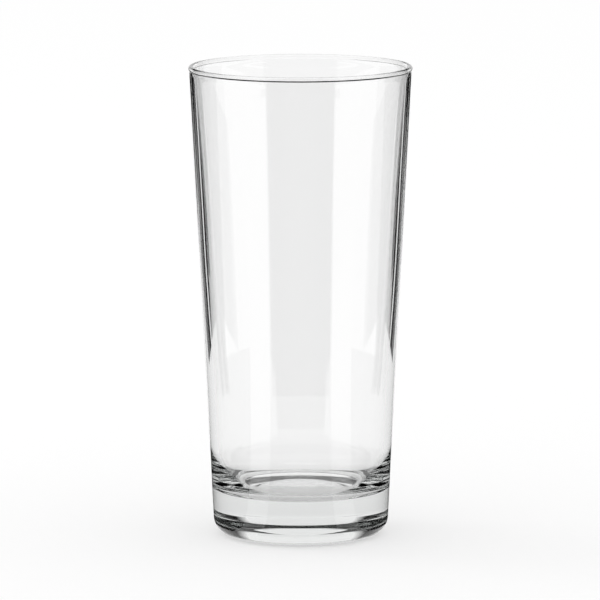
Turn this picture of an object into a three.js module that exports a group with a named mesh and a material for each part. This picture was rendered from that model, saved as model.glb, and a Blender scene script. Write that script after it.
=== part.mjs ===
// Tall tumbler: one piece of clear glass with a straight tapered wall, a thick solid base,
// a domed hollow under the base and a fire-polished rim.
// Millimetres, +Z up. The origin is the centre of the ring that the glass stands on.
import * as THREE from "three";

// Outside
const height = 150; // resting plane to the top of the rim
const rimDiameter = 71; // over the rim bead
const baseDiameter = 55.2; // straight wall carried down to the resting plane
const heelRadius = 5.5; // rounding between the wall and the underside

// Wall and rim
const footThickness = 2.65; // wall at the height of the floor, left of its rounded corner
const wallThickness = 2.5; // wall where it starts to thin
const thinningHeight = 90; // above this the wall thins towards the lip
const lipThickness = 1.3; // just under the rim bead
const beadStand = 0.2; // how far the rim bead stands proud of the lip on each side
const beadRootRadius = 0.6; // hollow rounding between the lip and the bead

// Base
const floorThickness = 14; // solid glass at the edge of the floor
const floorCrown = 2; // rise of the floor from its edge to its middle
const cornerHeight = 14; // how far up the wall the inside corner is rounded
const cornerWidth = 6; // how far in along the floor it is rounded
const restingRingWidth = 2; // flat ring that touches the table
const hollowDepth = 3; // domed hollow inside that ring
const hollowEdgeRadius = 2; // rounding between the ring and the hollow

// Handles of this share of a corner's sides make its curve nearly a quarter of an ellipse.
const cornerFullness = 0.55;

// Fineness of the surface
const segmentsAround = 64;
const hollowSteps = 6;
const hollowEdgeSteps = 3;
const heelSteps = 7;
const rootSteps = 2;
const beadSteps = 8;
const thinningSteps = 6;
const cornerSteps = 10;
const floorSteps = 6;

const glass = new THREE.MeshStandardMaterial({
  name: "clear_glass",
  color: 0xf2f6f5,
  roughness: 0.03,
  metalness: 0,
  transparent: true,
  opacity: 0.35,
});

// The outside of the wall is a straight line in the section. It leans out by wallLean.
const beadRadius = lipThickness / 2 + beadStand;
const beadHeight = height - beadRadius;
const wallFoot = baseDiameter / 2;
const wallLean = Math.atan((rimDiameter / 2 - beadStand - wallFoot) / beadHeight);

// Distance of the outside wall from the axis at height z.
function wallRadius(z) {
  return wallFoot + z * Math.tan(wallLean);
}

// An arc of the section that leaves the angle from and reaches the angle to, both in radians.
function arc(centre, radius, from, to) {
  return new THREE.EllipseCurve(centre.x, centre.y, radius, radius, from, to, from > to);
}

// Underside, from the axis outwards: domed hollow, its rounded edge, flat resting ring, round heel.
function undersideCurves() {
  const heelCentre = new THREE.Vector2(wallRadius(heelRadius) - heelRadius / Math.cos(wallLean), heelRadius);
  const edgeCentre = new THREE.Vector2(heelCentre.x - restingRingWidth, hollowEdgeRadius);
  const slope = 2 * Math.atan(hollowDepth / edgeCentre.x);
  const hollowRadius = edgeCentre.x / Math.sin(slope) - hollowEdgeRadius;
  const hollowCentre = new THREE.Vector2(0, hollowDepth - hollowRadius);
  const down = -Math.PI / 2;
  return [
    { curve: arc(hollowCentre, hollowRadius, Math.PI / 2, Math.PI / 2 - slope), steps: hollowSteps },
    { curve: arc(edgeCentre, hollowEdgeRadius, down - slope, down), steps: hollowEdgeSteps },
    { curve: arc(heelCentre, heelRadius, down, -wallLean), steps: heelSteps },
  ];
}

// Rim: a round bead centred on the lip, with a hollow rounding below it on the outside and the inside.
function rimCurves() {
  const beadCentre = new THREE.Vector2(wallRadius(beadHeight) - lipThickness / 2, beadHeight);
  const upTheWall = new THREE.Vector2(Math.sin(wallLean), Math.cos(wallLean));
  const acrossTheWall = new THREE.Vector2(Math.cos(wallLean), -Math.sin(wallLean));
  const rootAcross = (lipThickness / 2) * Math.cos(wallLean) + beadRootRadius;
  const rootDown = Math.sqrt((beadRadius + beadRootRadius) ** 2 - rootAcross ** 2);
  const rootAngle = Math.atan2(rootDown, rootAcross);
  const below = beadCentre.clone().addScaledVector(upTheWall, -rootDown);
  const outerCentre = below.clone().addScaledVector(acrossTheWall, rootAcross);
  const innerCentre = below.clone().addScaledVector(acrossTheWall, -rootAcross);
  const inwards = Math.PI - wallLean;
  const outwards = -wallLean;
  return [
    { curve: arc(outerCentre, beadRootRadius, inwards, inwards - rootAngle), steps: rootSteps },
    { curve: arc(beadCentre, beadRadius, outwards - rootAngle, inwards + rootAngle), steps: beadSteps },
    { curve: arc(innerCentre, beadRootRadius, outwards + rootAngle, outwards), steps: rootSteps },
  ];
}

// Inside: the wall thickens down from the lip to thinningHeight, runs on straight to the rounded corner,
// and the crowned floor closes it on the axis.
function insideCurves(lip) {
  const thinning = new THREE.Vector2(wallRadius(thinningHeight) - wallThickness, thinningHeight);
  const foot = new THREE.Vector2(wallRadius(floorThickness) - footThickness, floorThickness);
  const innerSlope = (thinning.x - foot.x) / (thinning.y - foot.y);
  const onInnerWall = (z) => new THREE.Vector2(foot.x + (z - foot.y) * innerSlope, z);
  const bend = onInnerWall((lip.y + thinning.y) / 2);
  const cornerTop = floorThickness + cornerHeight;
  const floorEdge = foot.x - cornerWidth;
  const corner = new THREE.CubicBezierCurve(
    onInnerWall(cornerTop),
    onInnerWall(cornerTop - cornerHeight * cornerFullness),
    new THREE.Vector2(floorEdge + cornerWidth * cornerFullness, floorThickness),
    new THREE.Vector2(floorEdge, floorThickness),
  );
  const crownRadius = (floorEdge ** 2 + floorCrown ** 2) / (2 * floorCrown);
  const crownCentre = new THREE.Vector2(0, floorThickness + floorCrown - crownRadius);
  const edgeAngle = Math.atan2(crownRadius - floorCrown, floorEdge);
  return [
    { curve: new THREE.QuadraticBezierCurve(lip, bend, thinning), steps: thinningSteps },
    { curve: corner, steps: cornerSteps },
    { curve: arc(crownCentre, crownRadius, edgeAngle, Math.PI / 2), steps: floorSteps },
  ];
}

// The whole section, from the axis under the base, round the rim and back to the axis on the floor.
// A straight line joins two curves that don't meet.
function section() {
  const rim = rimCurves();
  const lip = rim.at(-1).curve.getPoint(1);
  const points = [];
  for (const { curve, steps } of [...undersideCurves(), ...rim, ...insideCurves(lip)]) {
    const run = curve.getPoints(steps);
    const meets = points.length > 0 && points.at(-1).distanceTo(run[0]) < 1e-6;
    points.push(...(meets ? run.slice(1) : run));
  }
  points[0].x = 0;
  points.at(-1).x = 0;
  return points;
}

// The section turned about the vertical axis.
function tumblerGlass() {
  const geometry = new THREE.LatheGeometry(section(), segmentsAround);
  geometry.rotateX(Math.PI / 2);
  const mesh = new THREE.Mesh(geometry, glass);
  mesh.name = "tumbler_glass";
  return mesh;
}

const tumbler = new THREE.Group();
tumbler.add(tumblerGlass());

export default tumbler;
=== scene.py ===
import math

import bpy
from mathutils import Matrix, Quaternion, Vector


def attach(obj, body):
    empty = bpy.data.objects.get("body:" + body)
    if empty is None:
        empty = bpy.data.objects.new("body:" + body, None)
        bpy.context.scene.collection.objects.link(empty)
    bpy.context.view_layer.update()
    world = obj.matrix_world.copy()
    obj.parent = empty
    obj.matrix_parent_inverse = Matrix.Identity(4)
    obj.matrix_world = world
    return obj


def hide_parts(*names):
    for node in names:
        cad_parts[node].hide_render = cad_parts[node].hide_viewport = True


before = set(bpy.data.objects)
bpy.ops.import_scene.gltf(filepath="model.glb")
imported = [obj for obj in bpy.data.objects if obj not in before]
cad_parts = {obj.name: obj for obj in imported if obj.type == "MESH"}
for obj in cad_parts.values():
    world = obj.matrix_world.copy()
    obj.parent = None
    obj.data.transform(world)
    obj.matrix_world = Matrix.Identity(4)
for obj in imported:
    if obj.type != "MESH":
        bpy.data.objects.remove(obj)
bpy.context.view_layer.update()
scene = bpy.context.scene


# Camera
# A long lens straight in front of the glass, looking down on it by about nine degrees, so that the
# rim and the base both show as thin ellipses and the wall keeps its straight taper.
CAMERA_DISTANCE = 1.735
CAMERA_HEIGHT = 0.34
AIM_HEIGHT = 0.075
LENS_MM = 330.9
SENSOR_MM = 36.0
CAMERA_ROLL = math.radians(-0.06)
PICTURE_SIZE = 600
AXIS_PIXEL = 300.65
FARTHEST_SEEN = 20.0

camera_data = bpy.data.cameras.new("camera")
camera_data.lens = LENS_MM
camera_data.sensor_width = SENSOR_MM
camera_data.shift_x = (PICTURE_SIZE / 2 - AXIS_PIXEL) / PICTURE_SIZE
camera_data.clip_end = FARTHEST_SEEN
camera = bpy.data.objects.new("camera", camera_data)
camera.location = (0.0, -CAMERA_DISTANCE, CAMERA_HEIGHT)
sight_line = Vector((0.0, 0.0, AIM_HEIGHT)) - camera.location
camera.rotation_mode = "QUATERNION"
camera.rotation_quaternion = sight_line.to_track_quat("-Z", "Y")
camera.rotation_quaternion @= Quaternion((0.0, 0.0, 1.0), CAMERA_ROLL)
scene.collection.objects.link(camera)
scene.camera = camera
scene.view_settings.view_transform = "Standard"


# Tumbler
# One piece of clear soda-lime glass, formed in a mould with a straight tapered wall and a thick
# solid base. The rim is melted round by a flame, and the underside is hollowed to a resting ring.
MM = 0.001
TUMBLER_SIZES = {
    "Height": 150.0,
    "Rim diameter": 71.0,
    "Base diameter": 55.2,
    "Heel radius": 5.5,
    "Foot thickness": 2.65,
    "Wall thickness": 2.5,
    "Lip thickness": 1.3,
    "Bead stand": 0.2,
    "Bead root radius": 0.6,
    "Thinning height": 90.0,
    "Floor thickness": 14.0,
    "Floor crown": 2.0,
    "Corner height": 14.0,
    "Corner width": 6.0,
    "Resting ring width": 2.0,
    "Hollow depth": 3.0,
    "Hollow edge radius": 2.0,
}
CORNER_FULLNESS = 0.55
JOIN_DISTANCE = 0.001 * MM

# Steps along each stretch of the section, and round the axis.
DOME_STEPS = 24
RING_ROUND_STEPS = 8
RING_STEPS = 4
HEEL_STEPS = 40
WALL_STEPS = 60
BEAD_ROOT_STEPS = 8
BEAD_STEPS = 40
THINNING_STEPS = 40
LOWER_WALL_STEPS = 30
CORNER_STEPS = 48
FLOOR_STEPS = 24
SEGMENTS_AROUND = 256

# The lathe is a tree that draws the section from these sizes and turns it about the axis.
lathe = bpy.data.node_groups.new("tumbler_lathe", "GeometryNodeTree")
lathe.interface.new_socket("Geometry", in_out="INPUT", socket_type="NodeSocketGeometry")
lathe.interface.new_socket("Geometry", in_out="OUTPUT", socket_type="NodeSocketGeometry")
lathe_sockets = {}
for size_name in TUMBLER_SIZES:
    lathe_sockets[size_name] = lathe.interface.new_socket(
        size_name, in_out="INPUT", socket_type="NodeSocketFloat"
    )
lathe_input = lathe.nodes.new("NodeGroupInput")
lathe_output = lathe.nodes.new("NodeGroupOutput")


class Measure:
    """A number inside the lathe's tree, so that its formulas read as they do on paper."""

    def __init__(self, socket):
        self.socket = socket

    def __add__(self, other):
        return worked_out("ADD", self, other)

    def __sub__(self, other):
        return worked_out("SUBTRACT", self, other)

    def __rsub__(self, other):
        return worked_out("SUBTRACT", other, self)

    def __mul__(self, other):
        return worked_out("MULTIPLY", self, other)

    def __rmul__(self, other):
        return worked_out("MULTIPLY", other, self)

    def __truediv__(self, other):
        return worked_out("DIVIDE", self, other)

    def __neg__(self):
        return worked_out("MULTIPLY", self, -1.0)


def feed(tree, socket, value):
    """Links a measure or another node's output to a socket, or writes a plain number there."""
    if isinstance(value, Measure):
        value = value.socket
    if isinstance(value, bpy.types.NodeSocket):
        tree.links.new(value, socket)
    else:
        socket.default_value = value


def math_result(tree, operation, *terms):
    """The output of a Math node that works on the terms."""
    node = tree.nodes.new("ShaderNodeMath")
    node.operation = operation
    for socket, term in zip(node.inputs, terms):
        feed(tree, socket, term)
    return node.outputs[0]


def worked_out(operation, *terms):
    return Measure(math_result(lathe, operation, *terms))


def tangent(angle):
    return worked_out("TANGENT", angle)


def cosine(angle):
    return worked_out("COSINE", angle)


def sine(angle):
    return worked_out("SINE", angle)


def square_root(number):
    return worked_out("SQRT", number)


def section_point(radius, height):
    """A point of the section: its distance from the axis and its height."""
    node = lathe.nodes.new("ShaderNodeCombineXYZ")
    feed(lathe, node.inputs["X"], radius)
    feed(lathe, node.inputs["Y"], height)
    return node.outputs[0]


def section_arc(centre_radius, centre_height, radius, start, end, steps):
    """A round stretch of the section, between two angles in radians."""
    arc = lathe.nodes.new("GeometryNodeCurveArc")
    arc.mode = "RADIUS"
    arc.inputs["Resolution"].default_value = steps + 1
    feed(lathe, arc.inputs["Radius"], radius)
    feed(lathe, arc.inputs["Start Angle"], start)
    feed(lathe, arc.inputs["Sweep Angle"], end - start)
    place = lathe.nodes.new("GeometryNodeTransform")
    lathe.links.new(arc.outputs["Curve"], place.inputs["Geometry"])
    lathe.links.new(section_point(centre_radius, centre_height), place.inputs["Translation"])
    return place.outputs["Geometry"]


def section_line(start, end, steps):
    """A straight stretch of the section, between two of its points."""
    line = lathe.nodes.new("GeometryNodeCurvePrimitiveLine")
    lathe.links.new(start, line.inputs["Start"])
    lathe.links.new(end, line.inputs["End"])
    divide = lathe.nodes.new("GeometryNodeResampleCurve")
    lathe.links.new(line.outputs["Curve"], divide.inputs["Curve"])
    divide.inputs["Count"].default_value = steps + 1
    return divide.outputs["Curve"]


def section_bend(start, start_handle, end_handle, end, steps):
    """A stretch of the section that bends freely, between two of its points and with two handles."""
    bend = lathe.nodes.new("GeometryNodeCurvePrimitiveBezierSegment")
    bend.inputs["Resolution"].default_value = steps
    lathe.links.new(start, bend.inputs["Start"])
    lathe.links.new(start_handle, bend.inputs["Start Handle"])
    lathe.links.new(end_handle, bend.inputs["End Handle"])
    lathe.links.new(end, bend.inputs["End"])
    return bend.outputs["Curve"]


size = {name: Measure(lathe_input.outputs[name]) for name in TUMBLER_SIZES}
half_turn = math.pi
quarter_turn = math.pi / 2

# Outside wall: a straight line that leans out from the heel to the rim bead.
bead_radius = size["Lip thickness"] * 0.5 + size["Bead stand"]
bead_height = size["Height"] - bead_radius
wall_foot = size["Base diameter"] * 0.5
wall_lean = worked_out(
    "ARCTANGENT", (size["Rim diameter"] * 0.5 - size["Bead stand"] - wall_foot) / bead_height
)


def wall_radius(height):
    return wall_foot + height * tangent(wall_lean)


# Heel: an arc that touches the table plane and the wall.
heel_radius = size["Heel radius"]
heel_centre = wall_radius(heel_radius) - heel_radius / cosine(wall_lean)
heel_top = section_point(
    heel_centre + heel_radius * cosine(wall_lean), heel_radius - heel_radius * sine(wall_lean)
)
heel = section_arc(heel_centre, heel_radius, heel_radius, -quarter_turn, -wall_lean, HEEL_STEPS)

# Underside: a flat resting ring with a rounded inner edge, and a shallow dome inside it.
ring_edge = heel_centre - size["Resting ring width"]
hollow_slope = 2.0 * worked_out("ARCTANGENT", size["Hollow depth"] / ring_edge)
edge_radius = size["Hollow edge radius"]
ring = section_line(section_point(ring_edge, 0.0), section_point(heel_centre, 0.0), RING_STEPS)
ring_round = section_arc(
    ring_edge, edge_radius, edge_radius,
    -quarter_turn - hollow_slope, -quarter_turn, RING_ROUND_STEPS,
)
dome_edge = ring_edge - edge_radius * sine(hollow_slope)
dome_radius = dome_edge / sine(hollow_slope)
dome = section_arc(
    0.0, size["Hollow depth"] - dome_radius, dome_radius,
    quarter_turn - hollow_slope, quarter_turn, DOME_STEPS,
)

# Rim: a round bead on the thinned wall, with a small hollow fillet below it on each side.
bead_centre = wall_radius(bead_height) - size["Lip thickness"] * 0.5
half_lip = size["Lip thickness"] * 0.5 * cosine(wall_lean)
root_radius = size["Bead root radius"]
root_reach = square_root((bead_radius + root_radius) * (bead_radius + root_radius)
                         - (half_lip + root_radius) * (half_lip + root_radius))
root_angle = worked_out("ARCTAN2", root_reach, half_lip + root_radius)
bead = section_arc(
    bead_centre, bead_height, bead_radius,
    -wall_lean - root_angle, half_turn - wall_lean + root_angle, BEAD_STEPS,
)


def beside_bead(along, across):
    """A point given by its way up the wall and out from its middle, from the centre of the bead."""
    radius = bead_centre + along * sine(wall_lean) + across * cosine(wall_lean)
    height = bead_height + along * cosine(wall_lean) - across * sine(wall_lean)
    return radius, height


outer_root_centre = beside_bead(-root_reach, half_lip + root_radius)
outer_root = section_arc(
    *outer_root_centre, root_radius,
    half_turn - wall_lean - root_angle, half_turn - wall_lean, BEAD_ROOT_STEPS,
)
inner_root_centre = beside_bead(-root_reach, -half_lip - root_radius)
inner_root = section_arc(
    *inner_root_centre, root_radius,
    -wall_lean, root_angle - wall_lean, BEAD_ROOT_STEPS,
)
wall_top = section_point(*beside_bead(-root_reach, half_lip))
wall = section_line(heel_top, wall_top, WALL_STEPS)

# Inside: the wall thickens down from the lip, runs on straight, and turns into the crowned floor.
thinning_height = size["Thinning height"]
floor_height = size["Floor thickness"]
thinning_radius = wall_radius(thinning_height) - size["Wall thickness"]
inner_foot = wall_radius(floor_height) - size["Foot thickness"]
inner_lean = worked_out(
    "ARCTANGENT", (thinning_radius - inner_foot) / (thinning_height - floor_height)
)
lip_radius, lip_height = beside_bead(-root_reach, -half_lip)
bend_reach = (lip_height - thinning_height) * 0.5
bend_radius = thinning_radius + bend_reach * tangent(inner_lean)
two_thirds = 2.0 / 3.0
upper_handle = lip_radius + (bend_radius - lip_radius) * two_thirds
lower_handle = thinning_radius + (bend_radius - thinning_radius) * two_thirds
handle_reach = bend_reach * two_thirds
thinning = section_bend(
    section_point(lip_radius, lip_height),
    section_point(upper_handle, lip_height - handle_reach),
    section_point(lower_handle, thinning_height + handle_reach),
    section_point(thinning_radius, thinning_height),
    THINNING_STEPS,
)
corner_height = floor_height + size["Corner height"]
corner_edge = inner_foot - size["Corner width"]
corner_wall = inner_foot + size["Corner height"] * tangent(inner_lean)
corner_top = section_point(corner_wall, corner_height)
lower_wall = section_line(
    section_point(thinning_radius, thinning_height), corner_top, LOWER_WALL_STEPS
)
height_reach = size["Corner height"] * CORNER_FULLNESS
width_reach = size["Corner width"] * CORNER_FULLNESS
corner = section_bend(
    section_point(corner_edge, floor_height),
    section_point(corner_edge + width_reach, floor_height),
    section_point(corner_wall - height_reach * tangent(inner_lean), corner_height - height_reach),
    corner_top,
    CORNER_STEPS,
)
crown = size["Floor crown"]
crown_radius = (corner_edge * corner_edge + crown * crown) / (2.0 * crown)
crown_slope = worked_out("ARCSINE", corner_edge / crown_radius)
floor_face = section_arc(
    0.0, floor_height + crown - crown_radius, crown_radius,
    quarter_turn - crown_slope, quarter_turn, FLOOR_STEPS,
)

# The stretches of the section are joined into one line. A circle as wide as the foot of the wall
# carries that line round the axis. It counts radii from itself and heights downwards, so the line is
# moved in by the circle's radius and turned over.
section_pieces = [
    dome, ring_round, ring, heel, wall, outer_root, bead, inner_root,
    thinning, lower_wall, corner, floor_face,
]
gather = lathe.nodes.new("GeometryNodeJoinGeometry")
for piece in section_pieces:
    lathe.links.new(piece, gather.inputs["Geometry"])
as_edges = lathe.nodes.new("GeometryNodeCurveToMesh")
weld = lathe.nodes.new("GeometryNodeMergeByDistance")
weld.inputs["Distance"].default_value = JOIN_DISTANCE
as_line = lathe.nodes.new("GeometryNodeMeshToCurve")
offset = lathe.nodes.new("GeometryNodeTransform")
lathe.links.new(section_point(-wall_foot, 0.0), offset.inputs["Translation"])
offset.inputs["Scale"].default_value = (1.0, -1.0, 1.0)
turn = lathe.nodes.new("GeometryNodeCurvePrimitiveCircle")
turn.mode = "RADIUS"
turn.inputs["Resolution"].default_value = SEGMENTS_AROUND
feed(lathe, turn.inputs["Radius"], wall_foot)
upright = lathe.nodes.new("GeometryNodeSetCurveNormal")
upright.mode = "Z_UP"
spin = lathe.nodes.new("GeometryNodeCurveToMesh")
close_poles = lathe.nodes.new("GeometryNodeMergeByDistance")
close_poles.inputs["Distance"].default_value = JOIN_DISTANCE
smooth = lathe.nodes.new("GeometryNodeSetShadeSmooth")
realize = lathe.nodes.new("GeometryNodeRealizeInstances")
coat = lathe.nodes.new("GeometryNodeSetMaterial")
lathe.links.new(gather.outputs["Geometry"], as_edges.inputs["Curve"])
lathe.links.new(as_edges.outputs["Mesh"], weld.inputs["Geometry"])
lathe.links.new(weld.outputs["Geometry"], as_line.inputs["Mesh"])
lathe.links.new(as_line.outputs["Curve"], offset.inputs["Geometry"])
lathe.links.new(turn.outputs["Curve"], upright.inputs["Curve"])
lathe.links.new(upright.outputs["Curve"], spin.inputs["Curve"])
lathe.links.new(offset.outputs["Geometry"], spin.inputs["Profile Curve"])
lathe.links.new(spin.outputs["Mesh"], close_poles.inputs["Geometry"])
lathe.links.new(close_poles.outputs["Geometry"], smooth.inputs["Geometry"])
lathe.links.new(smooth.outputs["Geometry"], realize.inputs["Geometry"])
lathe.links.new(realize.outputs["Geometry"], coat.inputs["Geometry"])
lathe.links.new(coat.outputs["Geometry"], lathe_output.inputs["Geometry"])

# Clear glass: a faint grey-green in its depth, very small differences of polish, and the shallow
# waves that the mould leaves. Light is bounced many times before it finds its way out of the base.
GLASS_IOR = 1.52
GLASS_TINT = (0.50, 0.53, 0.515, 1.0)
GLASS_DENSITY = 7.0
BOUNCES_IN_GLASS = 40
POLISH_SCALE = 90.0
SMOOTHEST_GLASS = 0.0
ROUGHEST_GLASS = 0.006
WAVE_SCALE = 70.0
WAVE_HEIGHT = 0.01 * MM

scene.cycles.max_bounces = BOUNCES_IN_GLASS
scene.cycles.glossy_bounces = BOUNCES_IN_GLASS
scene.cycles.transmission_bounces = BOUNCES_IN_GLASS

clear_glass = bpy.data.materials.new("clear_glass")
clear_glass.use_nodes = True
glass_nodes = clear_glass.node_tree.nodes
glass_links = clear_glass.node_tree.links
glass_shader = glass_nodes["Principled BSDF"]
glass_shader.inputs["Base Color"].default_value = (1.0, 1.0, 1.0, 1.0)
glass_shader.inputs["Transmission Weight"].default_value = 1.0
glass_shader.inputs["IOR"].default_value = GLASS_IOR
glass_place = glass_nodes.new("ShaderNodeTexCoord")
polish_marks = glass_nodes.new("ShaderNodeTexNoise")
polish_marks.inputs["Scale"].default_value = POLISH_SCALE
glass_links.new(glass_place.outputs["Object"], polish_marks.inputs["Vector"])
polish = glass_nodes.new("ShaderNodeMapRange")
polish.inputs["To Min"].default_value = SMOOTHEST_GLASS
polish.inputs["To Max"].default_value = ROUGHEST_GLASS
glass_links.new(polish_marks.outputs["Fac"], polish.inputs["Value"])
glass_links.new(polish.outputs["Result"], glass_shader.inputs["Roughness"])
mould_waves = glass_nodes.new("ShaderNodeTexNoise")
mould_waves.inputs["Scale"].default_value = WAVE_SCALE
mould_waves.inputs["Detail"].default_value = 0.0
glass_links.new(glass_place.outputs["Object"], mould_waves.inputs["Vector"])
waves = glass_nodes.new("ShaderNodeBump")
waves.inputs["Distance"].default_value = WAVE_HEIGHT
glass_links.new(mould_waves.outputs["Fac"], waves.inputs["Height"])
glass_links.new(waves.outputs["Normal"], glass_shader.inputs["Normal"])
glass_body = glass_nodes.new("ShaderNodeVolumeAbsorption")
glass_body.inputs["Color"].default_value = GLASS_TINT
glass_body.inputs["Density"].default_value = GLASS_DENSITY
glass_links.new(glass_body.outputs["Volume"], glass_nodes["Material Output"].inputs["Volume"])
coat.inputs["Material"].default_value = clear_glass

# The lathe runs once on an empty blank, and its result is kept as a plain mesh.
blank = bpy.data.objects.new("tumbler_blank", bpy.data.meshes.new("tumbler_blank"))
scene.collection.objects.link(blank)
lathe_modifier = blank.modifiers.new("lathe", "NODES")
lathe_modifier.node_group = lathe
for size_name, millimetres in TUMBLER_SIZES.items():
    lathe_modifier[lathe_sockets[size_name].identifier] = millimetres * MM
evaluated = blank.evaluated_get(bpy.context.evaluated_depsgraph_get())
tumbler_mesh = bpy.data.meshes.new_from_object(evaluated)
blank.modifiers.remove(lathe_modifier)
bpy.data.objects.remove(blank)
tumbler = bpy.data.objects.new("tumbler", tumbler_mesh)
scene.collection.objects.link(tumbler)
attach(tumbler, "root")
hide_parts("tumbler_glass")


# Table
# A wide matt white table top. Half of its white is a glow that only the camera and the glass see, and
# the other half is paint, which takes the soft shadow. A hair's breadth of air is left under the glass.
TABLE_RADIUS = 8.0
TABLE_SIDES = 96
TABLE_TOP = -0.1 * MM
TABLE_PAINT = 0.5
TABLE_GLOW = 0.5


def seen_by_eye_or_glass(tree):
    """1 for rays from the camera and for those that glass reflects or lets through, else 0."""
    path = tree.nodes.new("ShaderNodeLightPath").outputs
    eye_or_reflected = math_result(tree, "MAXIMUM", path["Is Camera Ray"], path["Is Glossy Ray"])
    return math_result(tree, "MAXIMUM", eye_or_reflected, path["Is Transmission Ray"])


white_table = bpy.data.materials.new("white_table")
white_table.use_nodes = True
table_tree = white_table.node_tree
table_tree.nodes.remove(table_tree.nodes["Principled BSDF"])
matt = table_tree.nodes.new("ShaderNodeBsdfDiffuse")
matt.inputs["Color"].default_value = (TABLE_PAINT, TABLE_PAINT, TABLE_PAINT, 1.0)
glow = table_tree.nodes.new("ShaderNodeEmission")
glow_level = math_result(table_tree, "MULTIPLY", seen_by_eye_or_glass(table_tree), TABLE_GLOW)
table_tree.links.new(glow_level, glow.inputs["Strength"])
both = table_tree.nodes.new("ShaderNodeAddShader")
table_tree.links.new(matt.outputs[0], both.inputs[0])
table_tree.links.new(glow.outputs[0], both.inputs[1])
table_tree.links.new(both.outputs[0], table_tree.nodes["Material Output"].inputs["Surface"])

bpy.ops.mesh.primitive_circle_add(vertices=TABLE_SIDES, radius=TABLE_RADIUS, fill_type="NGON")
table = bpy.context.object
table.name = "table"
table.location.z = TABLE_TOP
table.data.materials.append(white_table)


# White surround
# A white studio all round, with nothing modelled in it: pure white to the eye and in the glass, and a
# soft even light on the table.
SURROUND_LIGHT = 0.97

surround = bpy.data.worlds.new("white_surround")
surround.use_nodes = True
scene.world = surround
surround_tree = surround.node_tree
background = surround_tree.nodes["Background"]
background.inputs["Color"].default_value = (1.0, 1.0, 1.0, 1.0)
surround_level = surround_tree.nodes.new("ShaderNodeMapRange")
surround_level.inputs["To Min"].default_value = SURROUND_LIGHT
surround_level.inputs["To Max"].default_value = 1.0
surround_tree.links.new(seen_by_eye_or_glass(surround_tree), surround_level.inputs["Value"])
surround_tree.links.new(surround_level.outputs["Result"], background.inputs["Strength"])


# Dark cards
# Black cards stand and lie round the glass, and the camera doesn't see them. Clear glass shows them as
# the dark lines along its edges, the greyer band down its middle and the dark corners of its base.
CARD_STEPS = 24
CARD_BLACK = 0.01
CARD_HEIGHT_ON_TABLE = -0.05 * MM


def dark_paint(name):
    """A material that is nearly black in any light."""
    paint = bpy.data.materials.new(name)
    paint.use_nodes = True
    tree = paint.node_tree
    tree.nodes.remove(tree.nodes["Principled BSDF"])
    black = tree.nodes.new("ShaderNodeEmission")
    black.inputs["Strength"].default_value = CARD_BLACK
    tree.links.new(black.outputs[0], tree.nodes["Material Output"].inputs["Surface"])
    return paint


def thin_out(paint, cover):
    """Leaves a dark paint dark where the output cover is 1, and makes it clear where that is 0."""
    tree = paint.node_tree
    surface = tree.nodes["Material Output"].inputs["Surface"]
    dark = surface.links[0].from_socket
    clear = tree.nodes.new("ShaderNodeBsdfTransparent")
    mix = tree.nodes.new("ShaderNodeMixShader")
    tree.links.new(cover, mix.inputs["Fac"])
    tree.links.new(clear.outputs[0], mix.inputs[1])
    tree.links.new(dark, mix.inputs[2])
    tree.links.new(mix.outputs[0], surface)


# The rim collar and the line cards are plain black.
collar_paint = dark_paint("dark_collar")

# Most cards show only after a reflection in the glass. Light that goes straight through it, and light
# that the table scatters, passes them by.
HALF_A_BOUNCE = 0.5

card_paint = dark_paint("dark_card")
card_tree = card_paint.node_tree
bounces = card_tree.nodes.new("ShaderNodeLightPath").outputs
reflected = math_result(card_tree, "GREATER_THAN", bounces["Glossy Depth"], HALF_A_BOUNCE)
unscattered = math_result(card_tree, "LESS_THAN", bounces["Diffuse Depth"], HALF_A_BOUNCE)
thin_out(card_paint, math_result(card_tree, "MULTIPLY", reflected, unscattered))

# The tall cards fade out towards the back and the front, so that the base darkens softly to its sides.
TALL_CARD_CLEAR = 1.4
TALL_CARD_BLACK = 1.8

tall_paint = dark_paint("dark_tall_card")
tall_tree = tall_paint.node_tree
tall_place = tall_tree.nodes.new("ShaderNodeTexCoord")
tall_split = tall_tree.nodes.new("ShaderNodeSeparateXYZ")
tall_tree.links.new(tall_place.outputs["Object"], tall_split.inputs[0])
from_middle = math_result(tall_tree, "ABSOLUTE", tall_split.outputs["X"])
tall_fade = tall_tree.nodes.new("ShaderNodeMapRange")
tall_fade.inputs["From Min"].default_value = TALL_CARD_CLEAR
tall_fade.inputs["From Max"].default_value = TALL_CARD_BLACK
tall_tree.links.new(from_middle, tall_fade.inputs["Value"])
thin_out(tall_paint, tall_fade.outputs["Result"])


def lying(near, far, height=CARD_HEIGHT_ON_TABLE):
    """The two edges of a card that lies flat."""
    return (near, height), (far, height)


def standing(distance, foot, top):
    """The two edges of a card that stands upright."""
    return (distance, foot), (distance, top)


def card(name, bearings, edges, sign=1, beside=0.0, seen_through=True, paint=card_paint):
    """A card swept round a point beside the axis of the glass, between two edges that are each a
    distance from that point and a height. Bearings are in degrees from straight behind, to the right,
    or to the left where sign is -1. One that isn't seen through the glass shows on its faces only."""
    first, last = (math.radians(bearing) for bearing in bearings)
    corners = []
    for step in range(CARD_STEPS + 1):
        bearing = first + (last - first) * step / CARD_STEPS
        for distance, height in edges:
            across = sign * (beside + distance * math.sin(bearing))
            corners.append((across, distance * math.cos(bearing), height))
    faces = [(2 * k, 2 * k + 2, 2 * k + 3, 2 * k + 1) for k in range(CARD_STEPS)]
    mesh = bpy.data.meshes.new(name)
    mesh.from_pydata(corners, [], faces)
    mesh.materials.append(paint)
    made = bpy.data.objects.new(name, mesh)
    scene.collection.objects.link(made)
    made.visible_camera = False
    made.visible_diffuse = False
    made.visible_shadow = False
    made.visible_transmission = seen_through


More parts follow.
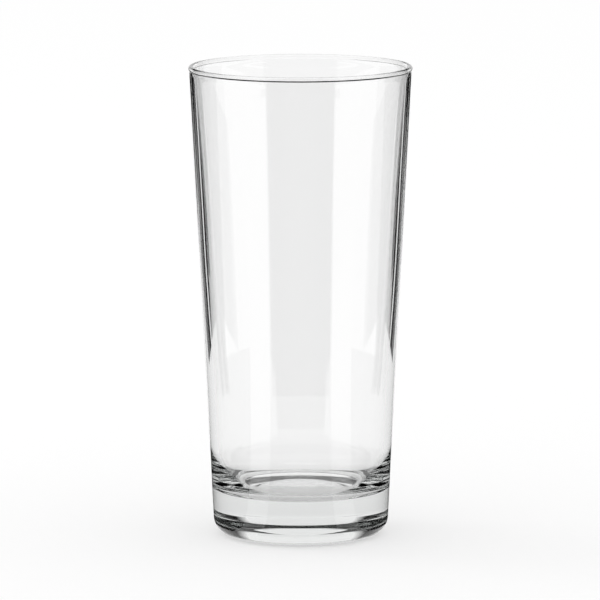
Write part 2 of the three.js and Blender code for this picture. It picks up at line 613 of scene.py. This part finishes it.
# On each side: three cards on the table behind the glass, a low and a tall one that stand beside it,
# and two sheets on the table that start close to it.
FLOOR_CARDS_BESIDE = 0.118
FLOOR_CARDS_NEAR = 0.26
FLOOR_CARDS_FAR = 4.0
EDGE_CARD_BEARINGS = (7.0, 22.0)
LINE_CARD_BEARINGS = (11.5, 22.0)
LINE_CARD_NEAR = 0.45
LINE_CARD_HEIGHT = 0.5 * CARD_HEIGHT_ON_TABLE
SIDE_FLOOR_BEARINGS = (26.0, 45.0)
SIDE_CARD_BEARINGS = (44.0, 83.0)
SIDE_CARD_DISTANCE = 0.6
SIDE_CARD_TOP = 0.1
TALL_CARD_BEARINGS = (20.0, 150.0)
TALL_CARD_DISTANCE = 3.0
TALL_CARD_FOOT = 0.2
TALL_CARD_TOP = 4.5
SHEETS_NEAR = 0.03
SIDE_SHEET_BEARINGS = (24.0, 83.0)
SHADE_SHEET_BEARINGS = (83.0, 120.0)
SHADE_SHEET_FAR = 0.28

floor_edges = lying(FLOOR_CARDS_NEAR, FLOOR_CARDS_FAR)
line_edges = lying(LINE_CARD_NEAR, FLOOR_CARDS_FAR, LINE_CARD_HEIGHT)
side_edges = standing(SIDE_CARD_DISTANCE, 0.0, SIDE_CARD_TOP)
tall_edges = standing(TALL_CARD_DISTANCE, TALL_CARD_FOOT, TALL_CARD_TOP)
side_sheet_edges = lying(SHEETS_NEAR, FLOOR_CARDS_FAR)
shade_sheet_edges = lying(SHEETS_NEAR, SHADE_SHEET_FAR)
for side, sign in (("right", 1), ("left", -1)):
    card("edge_card_" + side, EDGE_CARD_BEARINGS, floor_edges, sign, FLOOR_CARDS_BESIDE)
    card("line_card_" + side, LINE_CARD_BEARINGS, line_edges, sign, FLOOR_CARDS_BESIDE, paint=collar_paint)
    card("side_floor_" + side, SIDE_FLOOR_BEARINGS, floor_edges, sign, FLOOR_CARDS_BESIDE)
    card("side_card_" + side, SIDE_CARD_BEARINGS, side_edges, sign)
    card("tall_card_" + side, TALL_CARD_BEARINGS, tall_edges, sign, paint=tall_paint)
    card("side_sheet_" + side, SIDE_SHEET_BEARINGS, side_sheet_edges, sign, seen_through=False)
    card("shade_sheet_" + side, SHADE_SHEET_BEARINGS, shade_sheet_edges, sign, seen_through=False)

# In front: a card that stands, and two sheets on the table between it and the glass.
FRONT_CARD_BEARINGS = (139.0, 221.0)
FRONT_CARD_DISTANCE = 0.7
FRONT_CARD_TOP = 0.7
FRONT_SHEET_BEARINGS = (145.0, 215.0)
FRONT_SHEET_NEAR = 0.2

front_near_edges = lying(SHEETS_NEAR, FRONT_SHEET_NEAR)
card("front_card", FRONT_CARD_BEARINGS, standing(FRONT_CARD_DISTANCE, 0.0, FRONT_CARD_TOP))
card("front_sheet", FRONT_SHEET_BEARINGS, lying(FRONT_SHEET_NEAR, FRONT_CARD_DISTANCE))
card("front_near_sheet", FRONT_SHEET_BEARINGS, front_near_edges, seen_through=False)

# Above: a collar over the rim, open at the front, and a round card overhead.
COLLAR_BEARINGS = (-110.0, 110.0)
COLLAR_RADIUS = 0.06
COLLAR_FOOT = 0.162
COLLAR_TOP = 0.3
ALL_BEARINGS = (0.0, 360.0)
CEILING_RADIUS = 0.63
CEILING_HEIGHT = 0.9

collar_edges = standing(COLLAR_RADIUS, COLLAR_FOOT, COLLAR_TOP)
card("rim_collar", COLLAR_BEARINGS, collar_edges, paint=collar_paint)
card("ceiling_card", ALL_BEARINGS, lying(0.0, CEILING_RADIUS, CEILING_HEIGHT))


# Window light
# One soft lamp, high on the left and a little behind the glass, which throws the short soft shadow to
# the right. The camera and the glass don't see the lamp itself.
LAMP_SIZE = 0.6
LAMP_POWER = 2.0
LAMP_PLACE = Vector((-1.2, 0.5, 1.2))

lamp_data = bpy.data.lights.new("window_light", "AREA")
lamp_data.shape = "DISK"
lamp_data.size = LAMP_SIZE
lamp_data.energy = LAMP_POWER
window_light = bpy.data.objects.new("window_light", lamp_data)
window_light.location = LAMP_PLACE
window_light.rotation_mode = "QUATERNION"
window_light.rotation_quaternion = (-LAMP_PLACE).to_track_quat("-Z", "Y")
window_light.visible_camera = False
window_light.visible_glossy = False
window_light.visible_transmission = False
scene.collection.objects.link(window_light)
